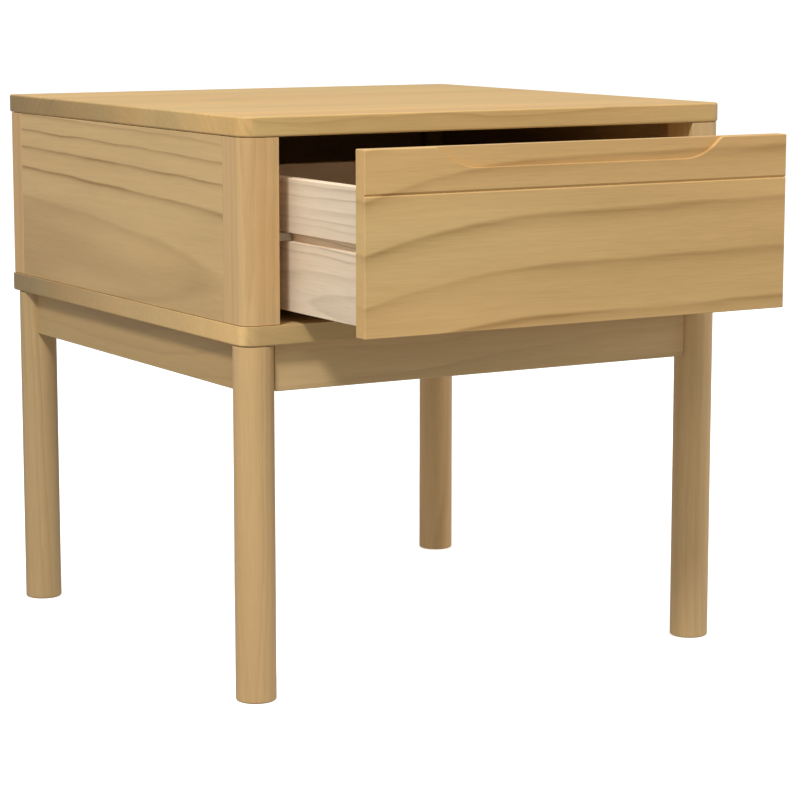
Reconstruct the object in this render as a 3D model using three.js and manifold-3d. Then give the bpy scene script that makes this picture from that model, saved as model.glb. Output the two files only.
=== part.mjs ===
// A bedside table in solid pine with one drawer, in millimetres, +Z up, opening towards -Y.
// A case of two slabs, four posts and thin panels stands on four turned legs tied by aprons.
// The origin is on the floor, in the middle of the whole outline with the drawer pulled out.
import * as THREE from "three";
import { RoundedBoxGeometry } from "three/addons/geometries/RoundedBoxGeometry.js";
import { mergeVertices, toCreasedNormals } from "three/addons/utils/BufferGeometryUtils.js";
import Module from "manifold-3d";

const wasm = await Module();
wasm.setup();

// Overall size. X runs across, Y from the slabs' front edge to the back, Z from the floor.
const WIDTH = 500;
const DEPTH = 500;
const HEIGHT = 505;
const GAP = 0.3; // joint line between two touching pieces
const EASE = 1; // broken edge of a board
const FINE_EASE = 0.5; // broken edge of a post's ends
const PAST = 1; // how far a cutter runs past the face it opens

// Slabs: the top and the floor of the case
const SLAB = 17.3;
const SLAB_CORNER = 15; // radius of the front corners in plan
const SLAB_EASE = 1.8;
const CASE_FLOOR_Z = 311; // underside of the case floor
const OVERHANG = 1; // slabs past the posts and panels

// Case walls
const POST_WIDTH = 34;
const FRONT_POST_DEPTH = 39;
const REAR_POST_DEPTH = 23.5;
const PANEL = 15; // thickness of the side panels
const TONGUE = 5; // thickness of the tongue on a side panel's upright edges
const TONGUE_LENGTH = 6;
const BACK_REBATE = 8; // how far the back panel laps onto each rear post
const BACK_PANEL = 8.7;

// Base
const LEG_RADIUS = 17.75;
const LEG_EASE = 2;
const APRON = 18; // thickness
const APRON_INSET = 10; // outer face behind the slabs' edge
const APRON_Z = 270; // lower edge
const BLOCK_NEAR = 24; // corner block's faces, measured diagonally from the leg's axis
const BLOCK_FAR = 48;
const BLOCK_Z = 275;
const BOLT_TIP = 3; // from the leg's axis
const BOLT_FLANGE_RADIUS = 8;
const BOLT_FLANGE = 1.6;
const BOLT_HEX_RADIUS = 5.8;
const BOLT_HEX = 4; // height of the hexagon above its flange
const BASE_SCREW_SPOT = [56, 37]; // in from the slabs' side and in from their end

// Drawer runners, one strip on each side
const RUNNER_FRONT = 16;
const RUNNER_BACK = 488;
const RUNNER_TIP = 195; // from the middle plane
const RUNNER_HEIGHT = 6.8;
const RUNNER_Z = 401.35; // middle of its height
const RUNNER_EASE = 0.6;
const RUNNER_SCREW_Y = [29, 482.5];

// Drawer
const DRAWER_PULL = 140.3; // how far the drawer stands open
const FRONT_WIDTH = 425.6;
const FRONT_THICK = 14.6;
const FRONT_Z = [331.7, 484.3];
const V_GROOVE_Z = 447.3;
const V_GROOVE_HALF = 1.5;
const V_GROOVE_DEPTH = 1.5;
const PULL_Z = 466; // lower rim of the finger pull
const PULL_HALF = 104; // half length of its straight rim
const PULL_BEND = 50; // radius of the rim where it starts to rise
const PULL_CLIMB = Math.PI / 4; // its steepest slope, from which it rounds over to the top edge
const PULL_SHOULDER = 0.5; // how far above the top edge the rounding would level off
const PULL_DEPTH = 3.6;
const PULL_FILLET = 0.8; // between the recess's wall and its floor
const BOX_WIDTH = 400;
const BOX_LENGTH = 300;
const BOX_Z = [338, 451.5];
const BOX_BOARD = 12;
const SIDE_GROOVE_DEPTH = 6;
const SIDE_GROOVE_HEIGHT = 7.4;
const BOTTOM = 4;
const BOTTOM_Z = 346;
const BOTTOM_GROOVE = 5;
const BOX_FIXING_Z = [368, 430]; // dowels in front, screws behind

// Fixings
const DOWEL_RADIUS = 4;
const DOWEL_CHAMFER = 0.8;
const SMALL_DOWEL_RADIUS = 3;
const SMALL_DOWEL_LENGTH = 24;
const SMALL_DOWEL_DEPTH = 7.6; // in the drawer front
const POST_DOWEL_LENGTH = 29;
const POST_DOWEL_DEPTH = 12.5; // in the slab
const FRONT_POST_DOWEL = [232, 18]; // from the middle plane, and from the slabs' front edge
const REAR_POST_DOWEL = [236, 487];
const HOLE_ROOM = 0.5; // a blind hole is this much deeper than its dowel
const RUNNER_SCREW = { radius: 1.5, head: 2.6, length: 31 };
const BACK_SCREW = { radius: 1.6, head: 3, length: 34 };
const BASE_SCREW = { radius: 2, head: 4, length: 48 };
const SCREW_POINT = 3; // length of a screw's point
const SCREW_RIM = 0.4; // thickness of a screw head's rim
const BOLT_RADIUS = 3;
const SCREW_CLEARANCE = 0.25;
const ROUND_SIDES = 16;
const SCREW_SIDES = 12;
const LEG_SIDES = 40;

// Derived levels and planes
const CASE_FLOOR_TOP = CASE_FLOOR_Z + SLAB;
const TOP_UNDERSIDE = HEIGHT - SLAB;
const CASE_SIDE = WIDTH / 2 - OVERHANG;
const CASE_BACK = DEPTH - OVERHANG;
const OPENING_HALF = CASE_SIDE - POST_WIDTH;
const FRONT_POST_BACK = OVERHANG + FRONT_POST_DEPTH;
const REAR_POST_FRONT = CASE_BACK - REAR_POST_DEPTH;
const BACK_PANEL_FRONT = CASE_BACK - BACK_PANEL;
const FRONT_BACK_Y = OVERHANG + FRONT_THICK;
const BOX_FRONT_Y = FRONT_BACK_Y + GAP;
const BOX_BACK_Y = BOX_FRONT_Y + BOX_LENGTH;
const BOX_HALF = BOX_WIDTH / 2;

// Materials
const finishedPine = new THREE.MeshStandardMaterial({ color: 0xc0a068, roughness: 0.45, metalness: 0 });
const rawPine = new THREE.MeshStandardMaterial({ color: 0xdcc8a6, roughness: 0.7, metalness: 0 });
const plywood = new THREE.MeshStandardMaterial({ color: 0xcbb48c, roughness: 0.75, metalness: 0 });
const beech = new THREE.MeshStandardMaterial({ color: 0xcda57a, roughness: 0.7, metalness: 0 });
const steel = new THREE.MeshStandardMaterial({ color: 0xb4b6ba, roughness: 0.35, metalness: 0.9 });

// ---- Helpers ----

// A closed geometry as a solid that can be joined and cut.
function solid(geometry) {
  const bare = geometry.clone();
  bare.deleteAttribute("normal");
  bare.deleteAttribute("uv");
  const merged = mergeVertices(bare, 1e-3);
  const corners = merged.index.array;
  const triVerts = [];
  for (let i = 0; i < corners.length; i += 3) {
    const [a, b, c] = corners.slice(i, i + 3);
    if (a !== b && b !== c && c !== a) triVerts.push(a, b, c);
  }
  const vertProperties = merged.attributes.position.array;
  const mesh = new wasm.Mesh({ numProp: 3, vertProperties, triVerts: new Uint32Array(triVerts) });
  return new wasm.Manifold(mesh);
}

function without(body, ...cutters) {
  return cutters.reduce((rest, cutter) => rest.subtract(cutter), body);
}

// Adds the solid to a group as a named mesh.
function addPiece(group, name, body, material) {
  const { vertProperties, triVerts } = body.getMesh();
  const geometry = new THREE.BufferGeometry();
  geometry.setAttribute("position", new THREE.BufferAttribute(vertProperties, 3));
  geometry.setIndex(new THREE.BufferAttribute(triVerts, 1));
  const mesh = new THREE.Mesh(toCreasedNormals(geometry, Math.PI / 6), material.clone());
  mesh.name = name;
  group.add(mesh);
}

// A plain box between two opposite corners.
function box(low, high) {
  const size = high.map((value, i) => value - low[i]);
  const middle = high.map((value, i) => (value + low[i]) / 2);
  return solid(new THREE.BoxGeometry(...size).translate(...middle));
}

// A board between two opposite corners, with every edge broken.
function board(low, high, ease = EASE) {
  const size = high.map((value, i) => value - low[i]);
  const middle = high.map((value, i) => (value + low[i]) / 2);
  return solid(new RoundedBoxGeometry(...size, 1, ease).translate(...middle));
}

// An upright prism with the plan outline, its upper and lower edges broken.
function prism(shape, lowZ, highZ, ease) {
  const geometry = new THREE.ExtrudeGeometry(shape, {
    depth: highZ - lowZ - 2 * ease,
    bevelThickness: ease,
    bevelSize: ease,
    bevelOffset: -ease,
    bevelSegments: 2,
    curveSegments: 8,
  });
  return solid(geometry.translate(0, 0, lowZ + ease));
}

// A turned piece. The profile is [radius, distance] pairs from one end of the axis to the other.
function turned(profile, sides = ROUND_SIDES) {
  const points = profile.map(([radius, distance]) => new THREE.Vector2(radius, distance));
  return new THREE.LatheGeometry(points, sides);
}

// Puts a turned piece at a point, with its axis along a direction.
function along(geometry, [x, y, z], direction) {
  const turn = new THREE.Quaternion().setFromUnitVectors(
    new THREE.Vector3(0, 1, 0),
    new THREE.Vector3(...direction).normalize(),
  );
  return solid(geometry.clone().applyQuaternion(turn).translate(x, y, z));
}

function rod(radius, length, sides = ROUND_SIDES) {
  return turned([[0, 0], [radius, 0], [radius, length], [0, length]], sides);
}

function dowelRod(radius, length) {
  const neck = radius - DOWEL_CHAMFER;
  return turned([
    [0, 0],
    [neck, 0],
    [radius, DOWEL_CHAMFER],
    [radius, length - DOWEL_CHAMFER],
    [neck, length],
    [0, length],
  ]);
}

// A countersunk screw. Its head is flush at distance 0 and its point is at the far end.
function screwForm({ radius, head, length }, slack) {
  const taper = head - radius;
  return turned([
    [0, -slack],
    [head + slack, -slack],
    [head + slack, SCREW_RIM],
    [radius + slack, SCREW_RIM + taper],
    [radius + slack, length - SCREW_POINT + slack],
    [0, length + slack],
  ], SCREW_SIDES);
}

const sides = [["left", -1], ["right", 1]];
const ends = [["front", 0], ["rear", 1]];

// ---- Slabs ----

// Plan of a slab: round at its two front corners, square behind.
function slabPlan() {
  const half = WIDTH / 2;
  const middle = half - SLAB_CORNER;
  const shape = new THREE.Shape();
  shape.moveTo(half, DEPTH);
  shape.lineTo(-half, DEPTH);
  shape.absarc(-middle, SLAB_CORNER, SLAB_CORNER, Math.PI, 1.5 * Math.PI);
  shape.absarc(middle, SLAB_CORNER, SLAB_CORNER, 1.5 * Math.PI, 2 * Math.PI);
  return shape;
}

// Where each post's dowel stands in plan.
function postDowelSpot(side, end) {
  const [across, back] = end ? REAR_POST_DOWEL : FRONT_POST_DOWEL;
  return [side * across, back];
}

// Holes for the four post dowels, from the face of a slab into it.
function postDowelHoles(faceZ, upwards) {
  const hole = rod(DOWEL_RADIUS + GAP, POST_DOWEL_DEPTH + HOLE_ROOM + GAP);
  const holes = [];
  for (const [, side] of sides) {
    for (const [, end] of ends) {
      const [x, y] = postDowelSpot(side, end);
      holes.push(along(hole, [x, y, faceZ - upwards * GAP], [0, 0, upwards]));
    }
  }
  return holes;
}

// ---- Case ----

const casework = new THREE.Group();

function buildTop() {
  const slab = prism(slabPlan(), TOP_UNDERSIDE, HEIGHT, SLAB_EASE);
  addPiece(casework, "tabletop", without(slab, ...postDowelHoles(TOP_UNDERSIDE, 1)), finishedPine);
}

function buildCaseFloor() {
  const slab = prism(slabPlan(), CASE_FLOOR_Z, CASE_FLOOR_TOP, SLAB_EASE);
  const screwHoles = baseScrewSpots().map(({ spot }) => baseScrew(spot, SCREW_CLEARANCE));
  const body = without(slab, ...postDowelHoles(CASE_FLOOR_TOP, -1), ...screwHoles);
  addPiece(casework, "case_floor", body, finishedPine);
}

// Plan of a front post, round at its outer front corner.
function frontPostPlan(side) {
  const radius = SLAB_CORNER - OVERHANG;
  const shape = new THREE.Shape();
  shape.moveTo(side * OPENING_HALF, OVERHANG);
  shape.lineTo(side * OPENING_HALF, FRONT_POST_BACK);
  shape.lineTo(side * CASE_SIDE, FRONT_POST_BACK);
  const centre = [side * (CASE_SIDE - radius), OVERHANG + radius];
  const start = side > 0 ? 0 : Math.PI;
  shape.absarc(...centre, radius, start, 1.5 * Math.PI, side > 0);
  return shape;
}

// Plan of a rear post, with the rebate that takes the back panel.
function rearPostPlan(side) {
  const shape = new THREE.Shape();
  shape.moveTo(side * CASE_SIDE, REAR_POST_FRONT);
  shape.lineTo(side * CASE_SIDE, CASE_BACK);
  shape.lineTo(side * (OPENING_HALF + BACK_REBATE), CASE_BACK);
  shape.lineTo(side * (OPENING_HALF + BACK_REBATE), BACK_PANEL_FRONT - GAP);
  shape.lineTo(side * OPENING_HALF, BACK_PANEL_FRONT - GAP);
  shape.lineTo(side * OPENING_HALF, REAR_POST_FRONT);
  return shape;
}

// The middle of a side panel's tongue, from the middle plane.
const tongueMiddle = CASE_SIDE - PANEL / 2;

// A box around a tongue's section, between two Y planes and the slabs.
function tongueBox(side, fromY, toY, slack) {
  const half = TONGUE / 2 + slack;
  return box(
    [side * tongueMiddle - half, fromY, CASE_FLOOR_TOP - slack],
    [side * tongueMiddle + half, toY, TOP_UNDERSIDE + slack],
  );
}

function buildPosts() {
  for (const [sideName, side] of sides) {
    for (const [endName, end] of ends) {
      const plan = end ? rearPostPlan(side) : frontPostPlan(side);
      const post = prism(plan, CASE_FLOOR_TOP + GAP, TOP_UNDERSIDE - GAP, FINE_EASE);
      const joint = end ? REAR_POST_FRONT : FRONT_POST_BACK;
      const reach = TONGUE_LENGTH + GAP;
      const groove = end
        ? tongueBox(side, joint - PAST, joint + reach, GAP)
        : tongueBox(side, joint - reach, joint + PAST, GAP);
      const spot = postDowelSpot(side, end);
      const hole = rod(DOWEL_RADIUS + GAP, POST_DOWEL_LENGTH - POST_DOWEL_DEPTH + HOLE_ROOM);
      const dowelHoles = [
        along(hole, [...spot, CASE_FLOOR_TOP], [0, 0, 1]),
        along(hole, [...spot, TOP_UNDERSIDE], [0, 0, -1]),
      ];
      const screwHole = runnerScrew(side, RUNNER_SCREW_Y[end], SCREW_CLEARANCE);
      const body = without(post, groove, ...dowelHoles, screwHole);
      addPiece(casework, `post_${endName}_${sideName}`, body, finishedPine);
    }
  }
}

function buildPostDowels() {
  for (const [sideName, side] of sides) {
    for (const [endName, end] of ends) {
      const spot = postDowelSpot(side, end);
      const form = dowelRod(DOWEL_RADIUS, POST_DOWEL_LENGTH);
      const lower = along(form, [...spot, CASE_FLOOR_TOP - POST_DOWEL_DEPTH], [0, 0, 1]);
      const upper = along(form, [...spot, TOP_UNDERSIDE + POST_DOWEL_DEPTH], [0, 0, -1]);
      addPiece(casework, `dowel_lower_${endName}_${sideName}`, lower, beech);
      addPiece(casework, `dowel_upper_${endName}_${sideName}`, upper, beech);
    }
  }
}

function buildSidePanels() {
  for (const [sideName, side] of sides) {
    const faces = [side * CASE_SIDE, side * (CASE_SIDE - PANEL)].sort((a, b) => a - b);
    const frontY = FRONT_POST_BACK + GAP;
    const rearY = REAR_POST_FRONT - GAP;
    const panel = board(
      [faces[0], frontY, CASE_FLOOR_TOP + GAP],
      [faces[1], rearY, TOP_UNDERSIDE - GAP],
    );
    const tongue = tongueBox(side, frontY + GAP - TONGUE_LENGTH, rearY - GAP + TONGUE_LENGTH, -2 * GAP);
    addPiece(casework, `side_panel_${sideName}`, panel.add(tongue), finishedPine);
  }
}

function buildBackPanel() {
  const half = OPENING_HALF + BACK_REBATE - GAP;
  const panel = board(
    [-half, BACK_PANEL_FRONT, CASE_FLOOR_TOP + GAP],
    [half, CASE_BACK, TOP_UNDERSIDE - GAP],
  );
  addPiece(casework, "back_panel", panel, finishedPine);
}

function runnerScrew(side, y, slack = 0) {
  return along(screwForm(RUNNER_SCREW, slack), [side * RUNNER_TIP, y, RUNNER_Z], [side, 0, 0]);
}

function buildRunners() {
  const outer = OPENING_HALF - GAP;
  for (const [sideName, side] of sides) {
    const faces = [side * RUNNER_TIP, side * outer].sort((a, b) => a - b);
    const strip = board(
      [faces[0], RUNNER_FRONT, RUNNER_Z - RUNNER_HEIGHT / 2],
      [faces[1], RUNNER_BACK, RUNNER_Z + RUNNER_HEIGHT / 2],
      RUNNER_EASE,
    );
    const holes = RUNNER_SCREW_Y.map((y) => runnerScrew(side, y, SCREW_CLEARANCE));
    addPiece(casework, `runner_${sideName}`, without(strip, ...holes), rawPine);
    ends.forEach(([endName, end]) => {
      addPiece(casework, `runner_screw_${endName}_${sideName}`, runnerScrew(side, RUNNER_SCREW_Y[end]), steel);
    });
  }
}

// ---- Base ----

const base = new THREE.Group();

// A corner of the base. place(u, v) is the point u in from the slabs' side and v in from their end.
const corners = sides.flatMap(([sideName, side]) =>
  ends.map(([endName, end]) => ({
    name: `${endName}_${sideName}`,
    place: (u, v) => [side * (WIDTH / 2 - u), end ? DEPTH - v : v],
    inward: [-side, end ? -1 : 1, 0],
  })),
);

const boltZ = (BLOCK_Z + CASE_FLOOR_Z) / 2;

// A point on a corner's diagonal, measured from the leg's axis.
function onDiagonal(corner, distance) {
  const step = LEG_RADIUS + distance / Math.SQRT2;
  return [...corner.place(step, step), boltZ];
}

function legBolt(corner) {
  const seat = BLOCK_FAR + GAP;
  const rim = seat + BOLT_FLANGE;
  const shank = turned([
    [0, BOLT_TIP],
    [BOLT_RADIUS, BOLT_TIP],
    [BOLT_RADIUS, seat],
    [BOLT_FLANGE_RADIUS, seat],
    [BOLT_FLANGE_RADIUS, rim],
    [0, rim],
  ]);
  const height = BOLT_HEX + BOLT_FLANGE / 2;
  const hex = new THREE.CylinderGeometry(BOLT_HEX_RADIUS, BOLT_HEX_RADIUS, height, 6);
  hex.translate(0, rim + BOLT_HEX - height / 2, 0);
  const axis = onDiagonal(corner, 0);
  return along(shank, axis, corner.inward).add(along(hex, axis, corner.inward));
}

function boltHole(corner, from, to) {
  return along(rod(BOLT_RADIUS + GAP, to - from), onDiagonal(corner, from), corner.inward);
}

function buildLegs() {
  const top = CASE_FLOOR_Z - GAP;
  const round = turned([
    [0, 0],
    [LEG_RADIUS - LEG_EASE, 0],
    [LEG_RADIUS - LEG_EASE * 0.3, LEG_EASE * 0.3],
    [LEG_RADIUS, LEG_EASE],
    [LEG_RADIUS, top],
    [0, top],
  ], LEG_SIDES);
  for (const corner of corners) {
    const leg = along(round, [...corner.place(LEG_RADIUS, LEG_RADIUS), 0], [0, 0, 1]);
    const body = without(leg, boltHole(corner, BOLT_TIP - HOLE_ROOM, LEG_RADIUS + PAST));
    addPiece(base, `leg_${corner.name}`, body, finishedPine);
    addPiece(base, `leg_bolt_${corner.name}`, legBolt(corner), steel);
  }
}

// The legs' outlines that the aprons' ends are coped to.
function legCutters() {
  const form = rod(LEG_RADIUS + GAP, CASE_FLOOR_Z, LEG_SIDES);
  return corners.map((corner) => along(form, [...corner.place(LEG_RADIUS, LEG_RADIUS), 0], [0, 0, 1]));
}

function buildAprons() {
  const cutters = legCutters();
  const outer = WIDTH / 2 - APRON_INSET;
  const inner = outer - APRON;
  const low = APRON_Z;
  const high = CASE_FLOOR_Z - GAP;
  for (const [sideName, side] of sides) {
    const faces = [side * outer, side * inner].sort((a, b) => a - b);
    const rail = board([faces[0], LEG_RADIUS, low], [faces[1], DEPTH - LEG_RADIUS, high]);
    addPiece(base, `apron_${sideName}`, without(rail, ...cutters), finishedPine);
  }
  for (const [endName, end] of ends) {
    const nearY = end ? DEPTH - APRON_INSET - APRON : APRON_INSET;
    const reach = WIDTH / 2 - LEG_RADIUS;
    const rail = board([-reach, nearY, low], [reach, nearY + APRON, high]);
    addPiece(base, `apron_${endName}`, without(rail, ...cutters), finishedPine);
  }
}

// Plan of a corner block: it bridges two aprons across the corner, clear of the leg.
function blockPlan(corner) {
  const wall = APRON_INSET + APRON + GAP;
  const near = 2 * LEG_RADIUS + BLOCK_NEAR * Math.SQRT2 - wall;
  const far = 2 * LEG_RADIUS + BLOCK_FAR * Math.SQRT2 - wall;
  const outline = [[wall, near], [near, wall], [far, wall], [wall, far]];
  return new THREE.Shape(outline.map(([u, v]) => new THREE.Vector2(...corner.place(u, v))));
}

// The screw through each corner block into the case floor stands beside the bolt.
function baseScrewSpots() {
  return corners.map((corner) => ({ corner, spot: corner.place(...BASE_SCREW_SPOT) }));
}

function baseScrew(spot, slack = 0) {
  return along(screwForm(BASE_SCREW, slack), [...spot, BLOCK_Z], [0, 0, 1]);
}

function buildCornerBlocks() {
  for (const { corner, spot } of baseScrewSpots()) {
    const block = prism(blockPlan(corner), BLOCK_Z, CASE_FLOOR_Z - GAP, EASE);
    const bolt = boltHole(corner, BLOCK_NEAR - PAST, BLOCK_FAR + PAST);
    const holes = [bolt, baseScrew(spot, SCREW_CLEARANCE)];
    addPiece(base, `corner_block_${corner.name}`, without(block, ...holes), rawPine);
    addPiece(base, `base_screw_${corner.name}`, baseScrew(spot), steel);
  }
}

// ---- Drawer, modelled closed and then pulled out ----

const drawer = new THREE.Group();
drawer.position.y = -DRAWER_PULL;

// Outline of the finger pull in the front's plane.
// Its rim sweeps up at both ends and rounds over to the top edge.
function fingerPullOutline() {
  const top = FRONT_Z[1] + PULL_SHOULDER;
  const beyond = FRONT_Z[1] + 4 * PULL_DEPTH;
  const fall = 1 - Math.cos(PULL_CLIMB);
  const round = (top - PULL_Z) / fall - PULL_BEND;
  const end = PULL_HALF + (PULL_BEND + round) * Math.sin(PULL_CLIMB);
  const down = -Math.PI / 2;
  const up = Math.PI / 2;
  const outline = new THREE.Shape();
  outline.absarc(PULL_HALF, PULL_Z + PULL_BEND, PULL_BEND, down, down + PULL_CLIMB);
  outline.absarc(end, top - round, round, up + PULL_CLIMB, up, true);
  outline.lineTo(end, beyond);
  outline.lineTo(-end, beyond);
  outline.absarc(-end, top - round, round, up, up - PULL_CLIMB, true);
  outline.absarc(-PULL_HALF, PULL_Z + PULL_BEND, PULL_BEND, down - PULL_CLIMB, down);
  return outline;
}

// The recess is open at the top, and its upright wall turns into its flat floor through a fillet.
function fingerPullCutter() {
  const geometry = new THREE.ExtrudeGeometry(fingerPullOutline(), {
    depth: PULL_DEPTH - PULL_FILLET + PAST,
    bevelThickness: PULL_FILLET,
    bevelSize: PULL_FILLET,
    bevelOffset: -PULL_FILLET,
    bevelSegments: 3,
    curveSegments: 12,
  });
  geometry.rotateX(Math.PI / 2).translate(0, OVERHANG + PULL_DEPTH - PULL_FILLET, 0);
  return solid(geometry);
}

// A shallow V along the whole front face.
function vGrooveCutter() {
  const spread = V_GROOVE_HALF * (1 + PAST / V_GROOVE_DEPTH);
  const section = new THREE.Shape();
  section.moveTo(OVERHANG + V_GROOVE_DEPTH, V_GROOVE_Z);
  section.lineTo(OVERHANG - PAST, V_GROOVE_Z + spread);
  section.lineTo(OVERHANG - PAST, V_GROOVE_Z - spread);
  const length = FRONT_WIDTH + 4 * PAST;
  const geometry = new THREE.ExtrudeGeometry(section, { depth: length, bevelEnabled: false });
  geometry.rotateY(Math.PI / 2).rotateX(Math.PI / 2);
  return solid(geometry.translate(-length / 2, 0, 0));
}

function frontDowel(side, z, slack = 0) {
  const form = slack
    ? rod(SMALL_DOWEL_RADIUS + slack, SMALL_DOWEL_LENGTH + 2 * slack)
    : dowelRod(SMALL_DOWEL_RADIUS, SMALL_DOWEL_LENGTH);
  const start = FRONT_BACK_Y - SMALL_DOWEL_DEPTH - slack;
  return along(form, [side * (BOX_HALF - BOX_BOARD / 2), start, z], [0, 1, 0]);
}

function backScrew(side, z, slack = 0) {
  const place = [side * BOX_HALF, BOX_BACK_Y - BOX_BOARD / 2, z];
  return along(screwForm(BACK_SCREW, slack), place, [-side, 0, 0]);
}

// The groove around the inside of the drawer that holds its bottom.
function bottomGroove() {
  const half = BOX_HALF - BOX_BOARD + BOTTOM_GROOVE;
  return box(
    [-half, FRONT_BACK_Y - BOTTOM_GROOVE, BOTTOM_Z - GAP],
    [half, BOX_BACK_Y - BOX_BOARD + BOTTOM_GROOVE, BOTTOM_Z + BOTTOM + GAP],
  );
}

function everyFixing(make, slack) {
  return sides.flatMap(([, side]) => BOX_FIXING_Z.map((z) => make(side, z, slack)));
}

function buildDrawerFront() {
  const half = FRONT_WIDTH / 2;
  const panel = board([-half, OVERHANG, FRONT_Z[0]], [half, FRONT_BACK_Y, FRONT_Z[1]]);
  const cutters = [fingerPullCutter(), vGrooveCutter(), bottomGroove(), ...everyFixing(frontDowel, GAP)];
  addPiece(drawer, "drawer_front", without(panel, ...cutters), finishedPine);
}

function buildDrawerBox() {
  const screws = everyFixing(backScrew, SCREW_CLEARANCE);
  const dowels = everyFixing(frontDowel, GAP);
  for (const [sideName, side] of sides) {
    const faces = [side * BOX_HALF, side * (BOX_HALF - BOX_BOARD)].sort((a, b) => a - b);
    const wall = board([faces[0], BOX_FRONT_Y, BOX_Z[0]], [faces[1], BOX_BACK_Y, BOX_Z[1]]);
    const slot = [side * (BOX_HALF - SIDE_GROOVE_DEPTH), side * (BOX_HALF + PAST)].sort((a, b) => a - b);
    const runnerGroove = box(
      [slot[0], BOX_FRONT_Y - PAST, RUNNER_Z - SIDE_GROOVE_HEIGHT / 2],
      [slot[1], BOX_BACK_Y + PAST, RUNNER_Z + SIDE_GROOVE_HEIGHT / 2],
    );
    const body = without(wall, runnerGroove, bottomGroove(), ...screws, ...dowels);
    addPiece(drawer, `drawer_side_${sideName}`, body, rawPine);
  }
  const half = BOX_HALF - BOX_BOARD - GAP;
  const back = board([-half, BOX_BACK_Y - BOX_BOARD, BOX_Z[0]], [half, BOX_BACK_Y, BOX_Z[1]]);
  addPiece(drawer, "drawer_back", without(back, bottomGroove(), ...screws), rawPine);
}

function buildDrawerBottom() {
  const half = BOX_HALF - BOX_BOARD + BOTTOM_GROOVE - GAP;
  const panel = box(
    [-half, FRONT_BACK_Y - BOTTOM_GROOVE + GAP, BOTTOM_Z],
    [half, BOX_BACK_Y - BOX_BOARD + BOTTOM_GROOVE - GAP, BOTTOM_Z + BOTTOM],
  );
  addPiece(drawer, "drawer_bottom", panel, plywood);
}

function buildDrawerFixings() {
  for (const [sideName, side] of sides) {
    BOX_FIXING_Z.forEach((z, i) => {
      const level = i ? "upper" : "lower";
      addPiece(drawer, `drawer_dowel_${level}_${sideName}`, frontDowel(side, z), beech);
      addPiece(drawer, `drawer_screw_${level}_${sideName}`, backScrew(side, z), steel);
    });
  }
}

buildTop();
buildCaseFloor();
buildPosts();
buildPostDowels();
buildSidePanels();
buildBackPanel();
buildRunners();
buildLegs();
buildAprons();
buildCornerBlocks();
buildDrawerFront();
buildDrawerBox();
buildDrawerBottom();
buildDrawerFixings();

const nightstand = new THREE.Group();
nightstand.add(casework, base, drawer);
nightstand.position.y = (DRAWER_PULL - OVERHANG - DEPTH) / 2;

export default nightstand;
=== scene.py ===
# A bedside table in solid pine with its one drawer pulled out, in metres, +Z up.
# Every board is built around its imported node, with rounded edges, real grooves and a solid pine texture that
# runs through it.
import math

import bmesh
import bpy
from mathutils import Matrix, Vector


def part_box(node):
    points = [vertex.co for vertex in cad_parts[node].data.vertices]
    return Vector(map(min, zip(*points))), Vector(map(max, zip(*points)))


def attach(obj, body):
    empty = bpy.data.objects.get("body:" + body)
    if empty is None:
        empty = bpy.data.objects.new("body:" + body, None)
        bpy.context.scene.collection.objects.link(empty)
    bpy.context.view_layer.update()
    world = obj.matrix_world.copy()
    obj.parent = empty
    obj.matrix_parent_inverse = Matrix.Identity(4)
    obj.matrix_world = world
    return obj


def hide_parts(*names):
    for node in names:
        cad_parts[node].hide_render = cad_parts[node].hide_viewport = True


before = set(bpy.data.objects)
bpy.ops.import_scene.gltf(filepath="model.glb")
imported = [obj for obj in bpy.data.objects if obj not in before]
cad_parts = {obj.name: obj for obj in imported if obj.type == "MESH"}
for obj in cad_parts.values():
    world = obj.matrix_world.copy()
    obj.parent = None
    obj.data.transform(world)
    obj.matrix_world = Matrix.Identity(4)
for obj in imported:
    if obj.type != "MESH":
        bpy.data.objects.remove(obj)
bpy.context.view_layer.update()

MM = 0.001

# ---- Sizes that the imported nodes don't state by their corners, in metres ----

SLAB_CORNER = 15 * MM  # front corners of the two slabs in plan
POST_CORNER = 14 * MM  # outer front corner of a front post in plan
BACK_REBATE = 8 * MM  # the back panel laps a rear post by this much
CASE_GAP = 0.3 * MM

# Radii that round the edges
SLAB_EASE = 1.8 * MM
SEAT_EASE = 0.4 * MM  # upper edge of the case floor, where the panels stand on it
PANEL_EASE = 0.4 * MM
BOARD_EASE = 1.0 * MM
THIN_EASE = 0.5 * MM
LEG_EASE = 2.0 * MM
FRONT_EASE = 0.8 * MM
CUT_EASE = 0.2 * MM  # where the groove and the finger pull meet the drawer front's face
BOX_EASE = 0.6 * MM
PLYWOOD_EASE = 0.3 * MM

# Steps in a curve
EASE_STEPS = 3
WIDE_EASE_STEPS = 4
CUT_EASE_STEPS = 2
CORNER_STEPS = 14
LEG_SIDES = 96
FOOT_STEPS = 5
COPE_STEPS = 12
PULL_STEPS = 16
FILLET_STEPS = 6

PAST = 1 * MM  # a cutter goes past the face that it cuts by at least this much
MERGE = 0.01 * MM  # points closer than this are one point

# Finger pull and groove of the drawer front
V_GROOVE_Z = 447.3 * MM
V_GROOVE_HALF = 1.5 * MM
V_GROOVE_DEPTH = 1.5 * MM
PULL_Z = 466 * MM
PULL_HALF = 104 * MM
PULL_BEND = 50 * MM
PULL_CLIMB = math.radians(45)
PULL_SHOULDER = 0.5 * MM
PULL_DEPTH = 3.6 * MM
PULL_FILLET = 0.8 * MM

# Grooves of the drawer box
RUNNER_Z = 401.35 * MM
SIDE_GROOVE_HALF = 3.7 * MM
SIDE_GROOVE_DEPTH = 6 * MM

SHARP_EDGE = 25  # edges that turn by more than this many degrees are rounded
SHARP_CUT = 40  # the same on the drawer front after its cuts, past the steps of its own rounds

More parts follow.
